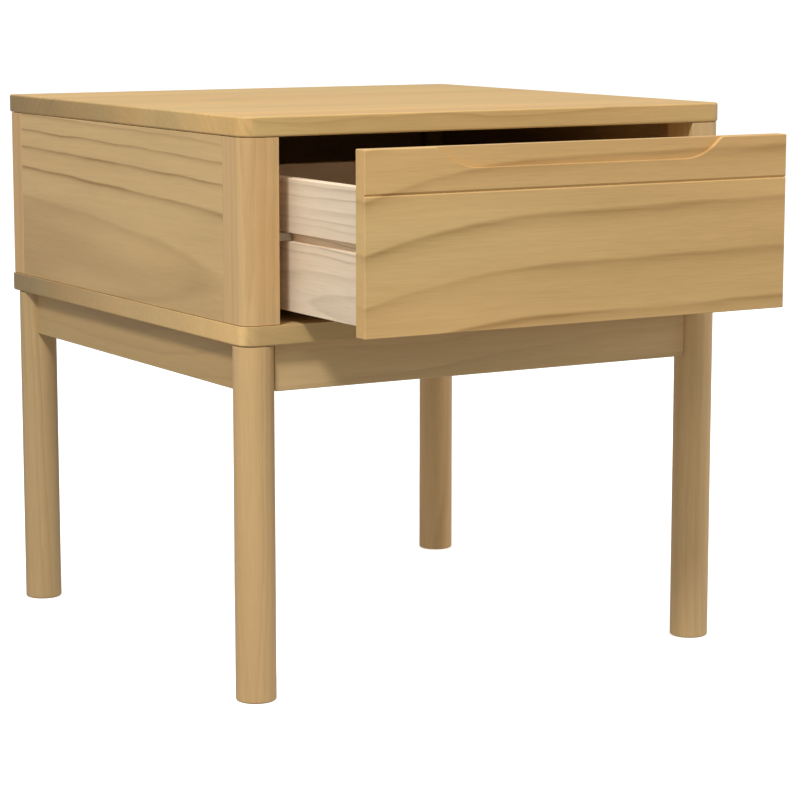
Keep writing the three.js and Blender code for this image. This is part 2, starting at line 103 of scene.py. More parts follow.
SIDES = (("left", -1), ("right", 1))
ENDS = (("front", -1), ("rear", 1))


# ---- Node trees ----


class Nodes:
    """Adds nodes to a tree. A socket takes a number, a tuple, or another node's output, which is linked."""

    def __init__(self, tree):
        self.tree = tree

    def feed(self, socket, value):
        if isinstance(value, bpy.types.NodeSocket):
            self.tree.links.new(value, socket)
        else:
            socket.default_value = value

    def add(self, kind, inputs=None, **settings):
        node = self.tree.nodes.new("ShaderNode" + kind)
        for key, value in settings.items():
            setattr(node, key, value)
        for key, value in (inputs or {}).items():
            self.feed(node.inputs[key], value)
        return node

    def math(self, operation, *values, clamp=False):
        node = self.add("Math", operation=operation, use_clamp=clamp)
        for socket, value in zip(node.inputs, values):
            self.feed(socket, value)
        return node.outputs[0]

    def centre(self, value):
        """The value less a half, so that it varies around zero."""
        return self.math("SUBTRACT", value, 0.5)

    def vector(self, operation, *values):
        node = self.add("VectorMath", operation=operation)
        for socket, value in zip(node.inputs, values):
            self.feed(socket, value)
        return node.outputs[0]

    def split(self, vector):
        return self.add("SeparateXYZ", {"Vector": vector}).outputs

    def join(self, x, y, z):
        return self.add("CombineXYZ", {"X": x, "Y": y, "Z": z}).outputs[0]

    def noise(self, vector, scales, detail=2.0, shift=0.0):
        """A value around 0.5 that varies over 1/scale metres along each axis."""
        place = self.vector("MULTIPLY_ADD", vector, scales, (shift, 1.7 * shift, 2.3 * shift))
        return self.add("TexNoise", {"Vector": place, "Scale": 1.0, "Detail": detail}).outputs[0]

    def remap(self, value, low, high, to_low=0.0, to_high=1.0, kind="LINEAR"):
        node = self.add("MapRange", interpolation_type=kind)
        for key, given in zip(range(5), (value, low, high, to_low, to_high)):
            self.feed(node.inputs[key], given)
        return node.outputs[0]

    def mix(self, factor, first, second, blend="MIX"):
        node = self.add("Mix", data_type="RGBA", blend_type=blend, clamp_result=False)
        self.feed(node.inputs["Factor"], factor)
        self.feed(node.inputs[6], first)
        self.feed(node.inputs[7], second)
        return node.outputs[2]

    def tint(self, colour, value):
        return self.mix(1.0, colour, self.join(value, value, value), "MULTIPLY")


# The pith is the middle of the tree, placed from the board's centre. It leans by Slope and Tilt, and bends by
# Hook before the Knee. Ring is the first ring's width, and Crowd packs the outer rings closer.
FLOAT_INPUTS = (
    "Pith Across", "Pith Below", "Slope", "Tilt", "Hook", "Knee", "Ring", "Crowd", "Wander",
    "Uneven", "Seed", "Contrast", "Softness", "End Rings", "End Tone", "Blush", "Patches", "Strip", "Edge",
)

# Noise of the pine: repeats per metre along the grain, across the board and through it
WANDER_SCALE = (2.6, 6.5, 6.5)
DEPTH_WANDER_SCALE = (2.2, 5.5, 5.5)
RIPPLE_SCALE = (16.0, 70.0, 70.0)
MOTTLE_SCALE = (5.0, 16.0, 16.0)
BROAD_SCALE = (1.6, 11.0, 11.0)
FIBRE_SCALE = (38.0, 900.0, 900.0)
SILK_SCALE = (9.0, 190.0, 190.0)
RESIN_SCALE = (34.0, 1500.0, 1500.0)
PORE_SCALE = (1800.0, 1800.0, 1800.0)
BLUSH_SCALE = (1.1, 9.0, 9.0)
RUBBED_SCALE = (25.0, 60.0, 60.0)

# Boards glued up from strips
WHOLE_BOARD = 0.5  # a strip wider than this means that the board is in one piece
STRIP_PITHS = 0.09  # spread of the strips' piths
STRIP_SEEDS = 5.0
STRIP_TONES = 0.07

# Rings
RIPPLE = 3 * MM
UNEVEN_SCALE = 0.8
FAINTEST_YEAR = 0.35
LATEWOOD_FADE = 0.9  # share of a year after which its dark part fades out

# Tones, as factors of the wood's colour
NEUTRAL = (1.0, 1.0, 1.0, 1.0)
BLUSH_TINT = (1.07, 0.945, 0.86, 1.0)
RESIN_SHADE = -0.13
PORE_SHADE = 0.05
WEAR_SHADE = 0.06

BASE_ROUGHNESS = 0.4
FIBRE_ROUGHNESS = 0.14
LATEWOOD_ROUGHNESS = -0.06
END_ROUGHNESS = 0.12
WEAR_ROUGHNESS = -0.06

# Heights for the bump, of 1 for the deepest fibre
FIBRE_HEIGHT = 0.8
LATEWOOD_HEIGHT = 0.5
RESIN_HEIGHT = -0.5
PORE_HEIGHT = 0.8


def pine_group():
    """Solid pine. Position and Normal run along the grain, across the board and through it, from its centre."""
    tree = bpy.data.node_groups.new("SolidPine", "ShaderNodeTree")
    for name in ("Position", "Normal"):
        tree.interface.new_socket(name, in_out="INPUT", socket_type="NodeSocketVector")
    for name in ("Early", "Late"):
        tree.interface.new_socket(name, in_out="INPUT", socket_type="NodeSocketColor")
    for name in FLOAT_INPUTS:
        tree.interface.new_socket(name, in_out="INPUT", socket_type="NodeSocketFloat")
    tree.interface.new_socket("Colour", in_out="OUTPUT", socket_type="NodeSocketColor")
    for name in ("Roughness", "Height"):
        tree.interface.new_socket(name, in_out="OUTPUT", socket_type="NodeSocketFloat")
    n = Nodes(tree)
    given = tree.nodes.new("NodeGroupInput").outputs
    made = tree.nodes.new("NodeGroupOutput").inputs

    # Boards glued up from strips: each strip has its own pith and tone.
    along, across, through = n.split(given["Position"])
    strip = n.math("FLOOR", n.math("DIVIDE", across, given["Strip"]))
    strip_number = n.math("ADD", strip, given["Seed"])
    strip_noise = n.add("TexWhiteNoise", {"W": strip_number}, noise_dimensions="1D")
    strip_pick = n.split(strip_noise.outputs["Color"])
    many = n.math("LESS_THAN", given["Strip"], WHOLE_BOARD)
    shift = n.math("MULTIPLY", n.centre(strip_pick[0]), n.math("MULTIPLY", many, STRIP_PITHS))
    strip_seed = n.math("MULTIPLY", n.math("MULTIPLY", strip_pick[1], many), STRIP_SEEDS)
    seed = n.math("ADD", given["Seed"], strip_seed)
    offset = n.join(seed, n.math("MULTIPLY", seed, 0.37), n.math("MULTIPLY", seed, 0.71))
    place = n.vector("ADD", given["Position"], offset)

    # Distance from a pith that leans, hooks and wanders along the board
    wander_noise = n.noise(place, WANDER_SCALE, 1.5)
    wander_across = n.math("MULTIPLY", n.centre(wander_noise), given["Wander"])
    depth_noise = n.noise(place, DEPTH_WANDER_SCALE, 1.5, shift=9.0)
    wander_below = n.math("MULTIPLY", n.centre(depth_noise), given["Wander"])
    before_knee = n.math("MINIMUM", n.math("SUBTRACT", along, given["Knee"]), 0.0)
    hook = n.math("MULTIPLY", n.math("MULTIPLY", before_knee, before_knee), given["Hook"])
    pith_across = n.math("ADD", n.math("ADD", given["Pith Across"], shift), n.math("ADD", hook, wander_across))
    pith_across = n.math("MULTIPLY_ADD", along, given["Slope"], pith_across)
    pith_below = n.math("MULTIPLY_ADD", along, given["Tilt"], n.math("ADD", given["Pith Below"], wander_below))
    reach = n.join(0.0, n.math("SUBTRACT", across, pith_across), n.math("SUBTRACT", through, pith_below))
    radius = n.add("VectorMath", {0: reach}, operation="LENGTH").outputs["Value"]
    ripple = n.math("MULTIPLY", n.centre(n.noise(place, RIPPLE_SCALE, 3.0, shift=4.0)), RIPPLE)
    rings_out = n.math("DIVIDE", n.math("ADD", radius, ripple), given["Ring"])
    years = n.math("POWER", rings_out, given["Crowd"])
    years = n.math("ADD", years, given["Seed"])
    uneven_inputs = {"W": years, "Scale": UNEVEN_SCALE, "Detail": 0.0}
    uneven = n.add("TexNoise", uneven_inputs, noise_dimensions="1D").outputs[0]
    years = n.math("MULTIPLY_ADD", n.centre(uneven), given["Uneven"], years)
    year = n.math("FLOOR", years)
    part = n.math("FRACT", years)
    year_noise = n.add("TexWhiteNoise", {"W": n.math("ADD", year, seed)}, noise_dimensions="1D")
    strength = n.remap(year_noise.outputs["Value"], 0.0, 1.0, FAINTEST_YEAR, 1.0)
    drop = n.remap(part, LATEWOOD_FADE, 1.0, 1.0, 0.0, "SMOOTHSTEP")
    latewood = n.math("MULTIPLY", n.math("POWER", part, given["Softness"]), n.math("MULTIPLY", drop, strength))
    mottle = n.remap(n.noise(place, MOTTLE_SCALE, shift=19.0), 0.3, 0.7, 0.45, 1.3)
    latewood = n.math("MULTIPLY", latewood, mottle)

    # End grain shows its rings more strongly and takes in more finish.
    lengthwise = n.math("ABSOLUTE", n.split(given["Normal"])[0])
    end_grain = n.remap(lengthwise, 0.55, 0.9, 0.0, 1.0, "SMOOTHSTEP")
    end_rings = n.remap(end_grain, 0.0, 1.0, 1.0, given["End Rings"])
    contrast = n.math("MULTIPLY", given["Contrast"], end_rings)

    # Broad colour, fibres, and short dark resin lines
    broad = n.noise(place, BROAD_SCALE, shift=2.0)
    fibre = n.noise(place, FIBRE_SCALE, 3.0, shift=5.0)
    silk = n.noise(place, SILK_SCALE, shift=7.0)
    resin = n.remap(n.noise(place, RESIN_SCALE, 1.0, shift=11.0), 0.66, 0.74, 0.0, 1.0)
    resin = n.math("MULTIPLY", resin, n.remap(broad, 0.35, 0.7, 0.1, 0.8))
    pores = n.noise(place, PORE_SCALE, 1.0, shift=3.0)

    feather = n.remap(silk, 0.3, 0.7, 0.6, 1.25)
    line = n.math("MULTIPLY", n.math("MULTIPLY", latewood, feather), contrast, clamp=True)
    colour = n.mix(line, given["Early"], given["Late"])
    patch = n.math("MULTIPLY", n.remap(broad, 0.35, 0.65, 0.0, 1.0, "SMOOTHSTEP"), given["Patches"])
    colour = n.mix(patch, colour, n.mix(0.5, colour, given["Late"]))
    blush = n.noise(place, BLUSH_SCALE, 1.0, shift=17.0)
    warm = n.mix(n.remap(blush, 0.3, 0.7), NEUTRAL, BLUSH_TINT)
    colour = n.mix(given["Blush"], colour, n.mix(1.0, colour, warm, "MULTIPLY"))
    shade = n.remap(fibre, 0.25, 0.75, 0.95, 1.05)
    shade = n.math("MULTIPLY", shade, n.remap(silk, 0.25, 0.75, 0.965, 1.035))
    shade = n.math("MULTIPLY", shade, n.math("MULTIPLY_ADD", resin, RESIN_SHADE, 1.0))
    strip_tone = n.math("MULTIPLY_ADD", n.centre(strip_pick[2]), n.math("MULTIPLY", many, STRIP_TONES), 1.0)
    shade = n.math("MULTIPLY", shade, strip_tone)
    end_shade = n.math("ADD", given["End Tone"], n.remap(pores, 0.3, 0.7, -PORE_SHADE, PORE_SHADE))
    shade = n.math("MULTIPLY", shade, n.remap(end_grain, 0.0, 1.0, 1.0, end_shade))

    # Worn edges: paler where hands and cloths rub the finish thin
    rubbed = n.remap(n.noise(place, RUBBED_SCALE, 3.0, shift=13.0), 0.35, 0.65, 0.25, 1.0)
    wear = n.math("MULTIPLY", n.math("MULTIPLY", given["Edge"], rubbed), n.math("SUBTRACT", 1.0, end_grain))
    shade = n.math("MULTIPLY", shade, n.math("MULTIPLY_ADD", wear, WEAR_SHADE, 1.0))
    n.feed(made["Colour"], n.tint(colour, shade))

    roughness = n.math("MULTIPLY_ADD", fibre, FIBRE_ROUGHNESS, BASE_ROUGHNESS)
    roughness = n.math("MULTIPLY_ADD", latewood, LATEWOOD_ROUGHNESS, roughness)
    roughness = n.math("MULTIPLY_ADD", end_grain, END_ROUGHNESS, roughness)
    roughness = n.math("MULTIPLY_ADD", wear, WEAR_ROUGHNESS, roughness)
    n.feed(made["Roughness"], roughness)
    height = n.math("MULTIPLY_ADD", latewood, LATEWOOD_HEIGHT, n.math("MULTIPLY", fibre, FIBRE_HEIGHT))
    height = n.math("MULTIPLY_ADD", resin, RESIN_HEIGHT, height)
    height = n.math("MULTIPLY_ADD", n.math("MULTIPLY", pores, end_grain), PORE_HEIGHT, height)
    n.feed(made["Height"], height)
    return tree


PINE = pine_group()
GRAIN_ORDER = {"X": (0, 1, 2), "Y": (1, 2, 0), "Z": (2, 0, 1)}

# Finished boards carry a thin clear satin coat; raw ones are only planed.
FINISHED = {
    "early": (0.655, 0.448, 0.210),
    "late": (0.36, 0.215, 0.082),
    "contrast": 0.55,
    "extra_rough": 0.0,
}
RAW = {
    "early": (0.835, 0.715, 0.535),
    "late": (0.38, 0.30, 0.20),
    "contrast": 0.5,
    "extra_rough": 0.15,
}
STANDARD_LOOKS = {
    "Pith Across": 0.0,
    "Pith Below": -0.12,
    "Slope": 0.0,
    "Tilt": 0.02,
    "Hook": 0.0,
    "Knee": 0.0,
    "Ring": 0.007,
    "Crowd": 1.0,
    "Wander": 0.03,
    "Uneven": 0.9,
    "Seed": 1.0,
    "Softness": 3.0,
    "End Rings": 1.5,
    "End Tone": 0.79,
    "Blush": 0.7,
    "Patches": 0.3,
    "Strip": 1.0,
}
WORN_FROM = 0.4 * MM  # the wear fades out between these two distances from an edge
WORN_TO = 2.2 * MM
SPECULAR = 0.35
BUMP_STRENGTH = 0.35
BUMP_DEPTH = 0.25 * MM


def pine(name, low, high, grain, across="auto", tone=1.0, warm=1.0, finish=FINISHED, **looks):
    """Pine for the board between two corners, with its grain along one axis and its width across another."""
    middle = (Vector(low) + Vector(high)) / 2
    half = (Vector(high) - Vector(low)) / 2
    order = list(GRAIN_ORDER[grain])
    if across != "auto" and order[1] != "XYZ".index(across):
        order[1], order[2] = order[2], order[1]
    material = bpy.data.materials.new(name)
    material.use_nodes = True
    n = Nodes(material.node_tree)
    n.tree.nodes.clear()
    coordinates = n.add("TexCoord").outputs
    centred = n.vector("SUBTRACT", coordinates["Object"], tuple(middle))
    parts = n.split(centred)
    facing = n.split(coordinates["Normal"])
    inset = n.split(n.vector("SUBTRACT", tuple(half), n.vector("ABSOLUTE", centred)))
    lowest = n.math("MINIMUM", n.math("MINIMUM", inset[0], inset[1]), inset[2])
    highest = n.math("MAXIMUM", n.math("MAXIMUM", inset[0], inset[1]), inset[2])
    total = n.math("ADD", n.math("ADD", inset[0], inset[1]), inset[2])
    second = n.math("SUBTRACT", total, n.math("ADD", lowest, highest))
    edge = n.remap(second, WORN_FROM, WORN_TO, 1.0, 0.0, "SMOOTHSTEP")

    values = {**STANDARD_LOOKS, "Contrast": finish["contrast"], "Edge": edge}
    values.update({key.replace("_", " ").title(): value for key, value in looks.items()})
    # The colour is scaled by the board's own tone, which on some pieces also holds painted light and shade.
    early = Vector(finish["early"]) * tone
    late = Vector(finish["late"]) * tone
    values["Early"] = (early[0], early[1], early[2] / warm, 1.0)
    values["Late"] = (late[0], late[1], late[2] / warm, 1.0)
    values["Position"] = n.join(*(parts[i] for i in order))
    values["Normal"] = n.join(*(facing[i] for i in order))
    group = n.add("Group", node_tree=PINE)
    for key, value in values.items():
        n.feed(group.inputs[key], value)
    bump_inputs = {"Height": group.outputs["Height"], "Strength": BUMP_STRENGTH, "Distance": BUMP_DEPTH}
    bump = n.add("Bump", bump_inputs)
    roughness = group.outputs["Roughness"]
    if finish["extra_rough"]:
        roughness = n.math("ADD", roughness, finish["extra_rough"])
    shader = n.add("BsdfPrincipled", {
        "Base Color": group.outputs["Colour"],
        "Roughness": roughness,
        "Normal": bump.outputs[0],
    })
    shader.inputs["Specular IOR Level"].default_value = SPECULAR
    output = n.add("OutputMaterial")
    n.tree.links.new(shader.outputs[0], output.inputs[0])
    return material


# ---- Meshes ----

FLAT_FACE_WEIGHT = 90  # how far a large face's own direction rules the shading of its rounded edges


def at(axis, level, pair):
    """The point at a level on one axis, with the other two coordinates in XYZ order."""
    point = list(pair)
    point.insert("XYZ".index(axis), level)
    return point


def bevel(bm, edges, ease, steps):
    bmesh.ops.bevel(
        bm, geom=edges, offset=ease, segments=steps, profile=0.5, affect="EDGES", clamp_overlap=True
    )


def round_edges(bm, ease, steps=EASE_STEPS, over_degrees=SHARP_EDGE):
    limit = math.radians(over_degrees)
    bevel(bm, [e for e in bm.edges if len(e.link_faces) == 2 and e.calc_face_angle() > limit], ease, steps)


def mesh_of(name, bm):
    bmesh.ops.recalc_face_normals(bm, faces=bm.faces)
    for face in bm.faces:
        face.smooth = True
    mesh = bpy.data.meshes.new(name)
    bm.to_mesh(mesh)
    bm.free()
    return mesh


def skin(bm, loops):
    """Joins each closed loop of points to the next one, and closes the first and the last."""
    count = len(loops[0])
    for first, second in zip(loops, loops[1:]):
        for i in range(count):
            j = (i + 1) % count
            bm.faces.new([first[i], first[j], second[j], second[i]])
    bm.faces.new(loops[0])
    bm.faces.new(loops[-1])


def prism(outline, axis, low, high):
    """A straight prism of an outline, given as pairs of the other two coordinates."""
    bm = bmesh.new()
    skin(bm, [[bm.verts.new(at(axis, level, pair)) for pair in outline] for level in (low, high)])
    bmesh.ops.recalc_face_normals(bm, faces=bm.faces)
    return bm


def block(low, high):
    corners = [(low[0], low[1]), (high[0], low[1]), (high[0], high[1]), (low[0], high[1])]
    return prism(corners, "Z", low[2], high[2])


def arc(centre, radius, start, end, steps):
    """Points on a circle in plan, with angles in degrees."""
    angles = [math.radians(start + (end - start) * i / steps) for i in range(steps + 1)]
    return [(centre[0] + radius * math.cos(a), centre[1] + radius * math.sin(a)) for a in angles]


def add_piece(name, mesh, body, slot, material, *nodes):
    """Adds a mesh as a piece that stands for these nodes."""
    piece = bpy.data.objects.new(name, mesh)
    bpy.context.scene.collection.objects.link(piece)
    piece.data.materials.append(material)
    weighted = piece.modifiers.new("Flat faces", "WEIGHTED_NORMAL")
    weighted.keep_sharp = True
    weighted.weight = FLAT_FACE_WEIGHT
    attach(piece, body)
    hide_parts(*nodes)


def add_board(name, node, body, slot, ease=BOARD_EASE, **looks):
    """A plain board with rounded edges in the place of a node."""
    low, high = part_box(node)
    bm = block(low, high)
    round_edges(bm, ease)
    add_piece(name, mesh_of(name, bm), body, slot, pine(name + "_pine", low, high, **looks), node)


# ---- Slabs ----


def slab_outline(low, high, corner):
    """Plan of a slab, round at its two front corners."""
    inner = low[1] + corner
    left = arc((low[0] + corner, inner), corner, 180, 270, CORNER_STEPS)
    right = arc((high[0] - corner, inner), corner, 270, 360, CORNER_STEPS)
    return [(high[0], high[1]), (low[0], high[1])] + left + right


def round_level(bm, level, ease):
    """Rounds the edges that lie at one height."""
    edges = [e for e in bm.edges if all(abs(v.co.z - level) < MERGE for v in e.verts)]
    bevel(bm, edges, ease, WIDE_EASE_STEPS)


def add_slab(name, node, top_ease, **looks):
    low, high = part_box(node)
    bm = prism(slab_outline(low, high, SLAB_CORNER), "Z", low[2], high[2])
    round_level(bm, high[2], top_ease)
    round_level(bm, low[2], SLAB_EASE)
    material = pine(name + "_pine", low, high, grain="X", across="Y", **looks)
    add_piece(name, mesh_of(name, bm), "case", "finished_pine", material, node)


SLAB_LOOKS = {"strip": 0.083, "wander": 0.05}
add_slab(
    "top_board", "tabletop", SLAB_EASE, pith_below=-0.16, ring=0.0085, seed=7.3, contrast=0.65, warm=1.17,
    end_tone=1.07, end_rings=0.4, blush=1.0, **SLAB_LOOKS,
)
add_slab(
    "floor_board", "case_floor", SEAT_EASE, pith_below=-0.13, ring=0.008, seed=8.2, contrast=0.4, warm=1.1,
    tone=0.86, end_tone=1.4, end_rings=0.2, **SLAB_LOOKS,
)


# ---- Posts ----


def add_post(end_name, end, side_name, side):
    node = f"post_{end_name}_{side_name}"
    name = f"corner_{end_name}_{side_name}"
    low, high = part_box(node)
    outer, inner = (low[0], high[0]) if side < 0 else (high[0], low[0])
    if end < 0:
        centre = (outer - side * POST_CORNER, low[1] + POST_CORNER)
        curve = arc(centre, POST_CORNER, 180 if side < 0 else 360, 270, CORNER_STEPS)
        outline = [(inner, low[1]), (inner, high[1]), (outer, high[1])] + curve
    else:
        panel_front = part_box("back_panel")[0][1] - CASE_GAP
        lap = inner + side * BACK_REBATE
        outline = [
            (outer, low[1]),
            (outer, high[1]),
            (lap, high[1]),
            (lap, panel_front),
            (inner, panel_front),
            (inner, low[1]),
        ]
    bm = prism(outline, "Z", low[2], high[2])
    round_edges(bm, THIN_EASE)
    material = pine(
        name + "_pine", low, high, grain="Z", seed=11 + 3 * side + 5 * end, pith_across=0.05 * side,
        pith_below=-0.06 + 0.02 * end, ring=0.0075, wander=0.02, contrast=0.3, softness=2.2,
    )
    add_piece(name, mesh_of(name, bm), "case", "finished_pine", material, node)


for side_name, side in SIDES:
    for end_name, end in ENDS:
        add_post(end_name, end, side_name, side)


# ---- Panels ----


def add_side_panel(side_name, **looks):
    """The side panel between the posts. Its tongues are hidden in them."""
    node = f"side_panel_{side_name}"
    low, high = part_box(node)
    low[1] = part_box(f"post_front_{side_name}")[1][1] + CASE_GAP
    high[1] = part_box(f"post_rear_{side_name}")[0][1] - CASE_GAP
    bm = block(low, high)
    round_edges(bm, PANEL_EASE)
    name = f"panel_{side_name}"
    material = pine(name + "_pine", low, high, grain="Y", across="Z", **looks)
    add_piece(name, mesh_of(name, bm), "case", "finished_pine", material, node)


add_side_panel(
    "left", pith_across=-0.047, pith_below=0.0392, tilt=-0.054, ring=0.0592, crowd=2.0, uneven=0.0, seed=4.99,
    wander=0.006, contrast=2.6, softness=9.0, patches=1.0, blush=0.3, warm=1.05,
)
add_side_panel(
    "right", pith_across=0.05, pith_below=-0.07, ring=0.016, crowd=1.3, slope=-0.03, seed=5.3, wander=0.03,
    contrast=0.5,
)
add_board(
    "panel_back", "back_panel", "case", "finished_pine", ease=THIN_EASE, grain="X", across="Z", strip=0.078,
    seed=6.1, contrast=0.45,
)


# ---- Runners ----

# The runners are darkened: painted shade for the shadow that the front posts cast on them.
for side_name, side in SIDES:
    add_board(
        f"slide_strip_{side_name}", f"runner_{side_name}", "case", "raw_pine", ease=BOX_EASE, grain="Y",
        finish=RAW, tone=0.6, ring=0.004, seed=15 + side,
    )


# ---- Legs ----

# Brightness of each leg: painted light and shade, the rear left leg darkened as if shaded and the right legs
# brightened as if lit from the right.
LEG_PAINTED_LIGHT = {"front_left": 1.02, "rear_left": 0.83, "front_right": 1.1, "rear_right": 1.1}


def add_leg(end_name, end, side_name, side):
    """A turned leg: a plain round with an eased foot."""
    node = f"leg_{end_name}_{side_name}"
    name = f"round_leg_{end_name}_{side_name}"
    low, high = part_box(node)
    centre = (low + high) / 2
    radius = (high[0] - low[0]) / 2
    profile = []
    for i in range(FOOT_STEPS + 1):
        turn = math.pi / 2 * i / FOOT_STEPS
        profile.append((radius - LEG_EASE * (1 - math.sin(turn)), low[2] + LEG_EASE * (1 - math.cos(turn))))
    profile.append((radius, high[2] - THIN_EASE))
    profile.append((radius - THIN_EASE, high[2]))
    bm = bmesh.new()
    rings = []
    for ring_radius, z in profile:
        circle = arc((centre[0], centre[1]), ring_radius, 0, 360, LEG_SIDES)[:-1]
        rings.append([bm.verts.new((x, y, z)) for x, y in circle])
    skin(bm, rings)
    material = pine(
        name + "_pine", low, high, grain="Z", tone=LEG_PAINTED_LIGHT[f"{end_name}_{side_name}"],
        seed=21 + 2 * side + 5 * end, pith_across=0.035 * side, pith_below=0.03 * end, tilt=0.03,
        ring=0.0085, wander=0.022, contrast=0.42, softness=2.2,
    )
    add_piece(name, mesh_of(name, bm), "case", "finished_pine", material, node)


for side_name, side in SIDES:
    for end_name, end in ENDS:
        add_leg(end_name, end, side_name, side)


# ---- Aprons ----


def coped_outline(node, leg_names, grain_axis):
    """Plan of a rail whose two ends are hollowed round the legs."""
    low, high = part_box(node)
    lengthways = "XY".index(grain_axis)
    crossways = 1 - lengthways
    points = []
    for leg, direction in zip(leg_names, (-1, 1)):
        leg_low, leg_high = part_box(leg)
        centre = (leg_low + leg_high) / 2
        radius = (leg_high[0] - leg_low[0]) / 2 + CASE_GAP
        levels = [low[crossways], high[crossways]]
        if direction < 0:
            levels.reverse()
        for i in range(COPE_STEPS + 1):
            level = levels[0] + (levels[1] - levels[0]) * i / COPE_STEPS
            rise = math.sqrt(radius**2 - (level - centre[crossways]) ** 2)
            pair = [0, 0]
            pair[lengthways] = centre[lengthways] - direction * rise
            pair[crossways] = level
            points.append(tuple(pair))
    return points


def add_apron(place, grain_axis, leg_names, **looks):
    node = f"apron_{place}"
    name = f"rail_{place}"
    low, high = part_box(node)
    bm = prism(coped_outline(node, leg_names, grain_axis), "Z", low[2], high[2])
    round_edges(bm, BOARD_EASE)
    material = pine(name + "_pine", low, high, grain=grain_axis, across="Z", **looks)
    add_piece(name, mesh_of(name, bm), "case", "finished_pine", material, node)


add_apron(
    "front", "X", ["leg_front_left", "leg_front_right"],
    seed=31.2, ring=0.009, pith_across=-0.05, contrast=0.4,
)
add_apron(
    "rear", "X", ["leg_rear_left", "leg_rear_right"],
    seed=33.7, ring=0.008, pith_across=0.06, contrast=0.4,
)
# The left rail is darkened: painted shade for the shade it lies in under the case floor.
add_apron(
    "left", "Y", ["leg_front_left", "leg_rear_left"],
    tone=0.79, warm=1.1, seed=35.4, ring=0.010, pith_across=0.03, pith_below=-0.05, contrast=0.45,
)
add_apron(
    "right", "Y", ["leg_front_right", "leg_rear_right"],
    seed=37.1, ring=0.009, pith_across=-0.04, contrast=0.4,
)


# ---- Drawer front ----

FLAT_DEGREES = 0.3  # faces that turn by less than this are joined after a cut
OVER_FRONT = 20 * MM  # the finger pull's cutter rises this far over the front


def cut(bm, cutters):
    """The solid less each cutter, by Blender's exact boolean."""
    target = bpy.data.objects.new("cut_target", mesh_of("cut_target", bm))
    bpy.context.scene.collection.objects.link(target)
    made = []
    for cutter in cutters:
        other = bpy.data.objects.new("cutter", mesh_of("cutter", cutter))
        bpy.context.scene.collection.objects.link(other)
        made.append(other)
        step = target.modifiers.new("cut", "BOOLEAN")
        step.operation = "DIFFERENCE"
        step.solver = "EXACT"
        step.object = other
    graph = bpy.context.evaluated_depsgraph_get()
    result = bmesh.new()
    result.from_mesh(target.evaluated_get(graph).data)
    for o in [target, *made]:
        mesh = o.data
        bpy.data.objects.remove(o)
        bpy.data.meshes.remove(mesh)
    bmesh.ops.remove_doubles(result, verts=result.verts, dist=MERGE)
    bmesh.ops.dissolve_limit(
        result, angle_limit=math.radians(FLAT_DEGREES), verts=result.verts, edges=result.edges
    )
    return result


def pull_outline(top, inset):
    """The finger pull's outline in the front's plane, moved in by inset. Its shoulders level off at top."""
    shoulder = (top - PULL_Z) / (1 - math.cos(PULL_CLIMB)) - PULL_BEND
    end = PULL_HALF + (PULL_BEND + shoulder) * math.sin(PULL_CLIMB)
    right = []
    for i in range(PULL_STEPS + 1):
        turn = PULL_CLIMB * i / PULL_STEPS
        radius = PULL_BEND - inset
        right.append((PULL_HALF + radius * math.sin(turn), PULL_Z + PULL_BEND - radius * math.cos(turn)))
    for i in range(1, PULL_STEPS + 1):
        turn = PULL_CLIMB * (1 - i / PULL_STEPS)
        radius = shoulder + inset
        right.append((end - radius * math.sin(turn), top - shoulder + radius * math.cos(turn)))
    right.append((end, top + OVER_FRONT))
    return right + [(-x, z) for x, z in reversed(right)]


def pull_cutter(face_y, top):
    """A pocket with upright walls that turn into its flat floor through a small fillet."""
    wall = PULL_DEPTH - PULL_FILLET
    levels = [(0.0, -PAST)]
    for i in range(FILLET_STEPS + 1):
        turn = math.pi / 2 * i / FILLET_STEPS
        levels.append((PULL_FILLET * (1 - math.cos(turn)), wall + PULL_FILLET * math.sin(turn)))
    bm = bmesh.new()
    loops = []
    for inset, depth in levels:
        loops.append([bm.verts.new((x, face_y + depth, z)) for x, z in pull_outline(top, inset)])
    skin(bm, loops)
    return bm


def groove_cutter(low, high):
    """A V along the whole face."""
    face = low[1]
    spread = V_GROOVE_HALF * (1 + PAST / V_GROOVE_DEPTH)
    section = [
        (face + V_GROOVE_DEPTH, V_GROOVE_Z),
        (face - PAST, V_GROOVE_Z + spread),
        (face - PAST, V_GROOVE_Z - spread),
    ]
    return prism(section, "X", low[0] - PAST, high[0] + PAST)


def add_drawer_front():
    low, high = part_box("drawer_front")
    board = block(low, high)
    round_edges(board, FRONT_EASE, WIDE_EASE_STEPS)
    bm = cut(board, [groove_cutter(low, high), pull_cutter(low[1], high[2] + PULL_SHOULDER)])
    round_edges(bm, CUT_EASE, CUT_EASE_STEPS, SHARP_CUT)
    material = pine(
        "drawer_front_pine", low, high, grain="X", across="Z", seed=9.89, pith_across=-0.196, pith_below=0.02,
        slope=0.02, hook=-0.72, knee=-0.025, ring=0.043, uneven=0.1, wander=0.01, softness=6.0,
        contrast=1.7, patches=0.5, blush=1.0, warm=1.12, tone=1.09, end_tone=0.96, end_rings=0.5,
    )
    add_piece("front_board", mesh_of("front_board", bm), "drawer", "finished_pine", material, "drawer_front")


add_drawer_front()


# ---- Drawer box ----


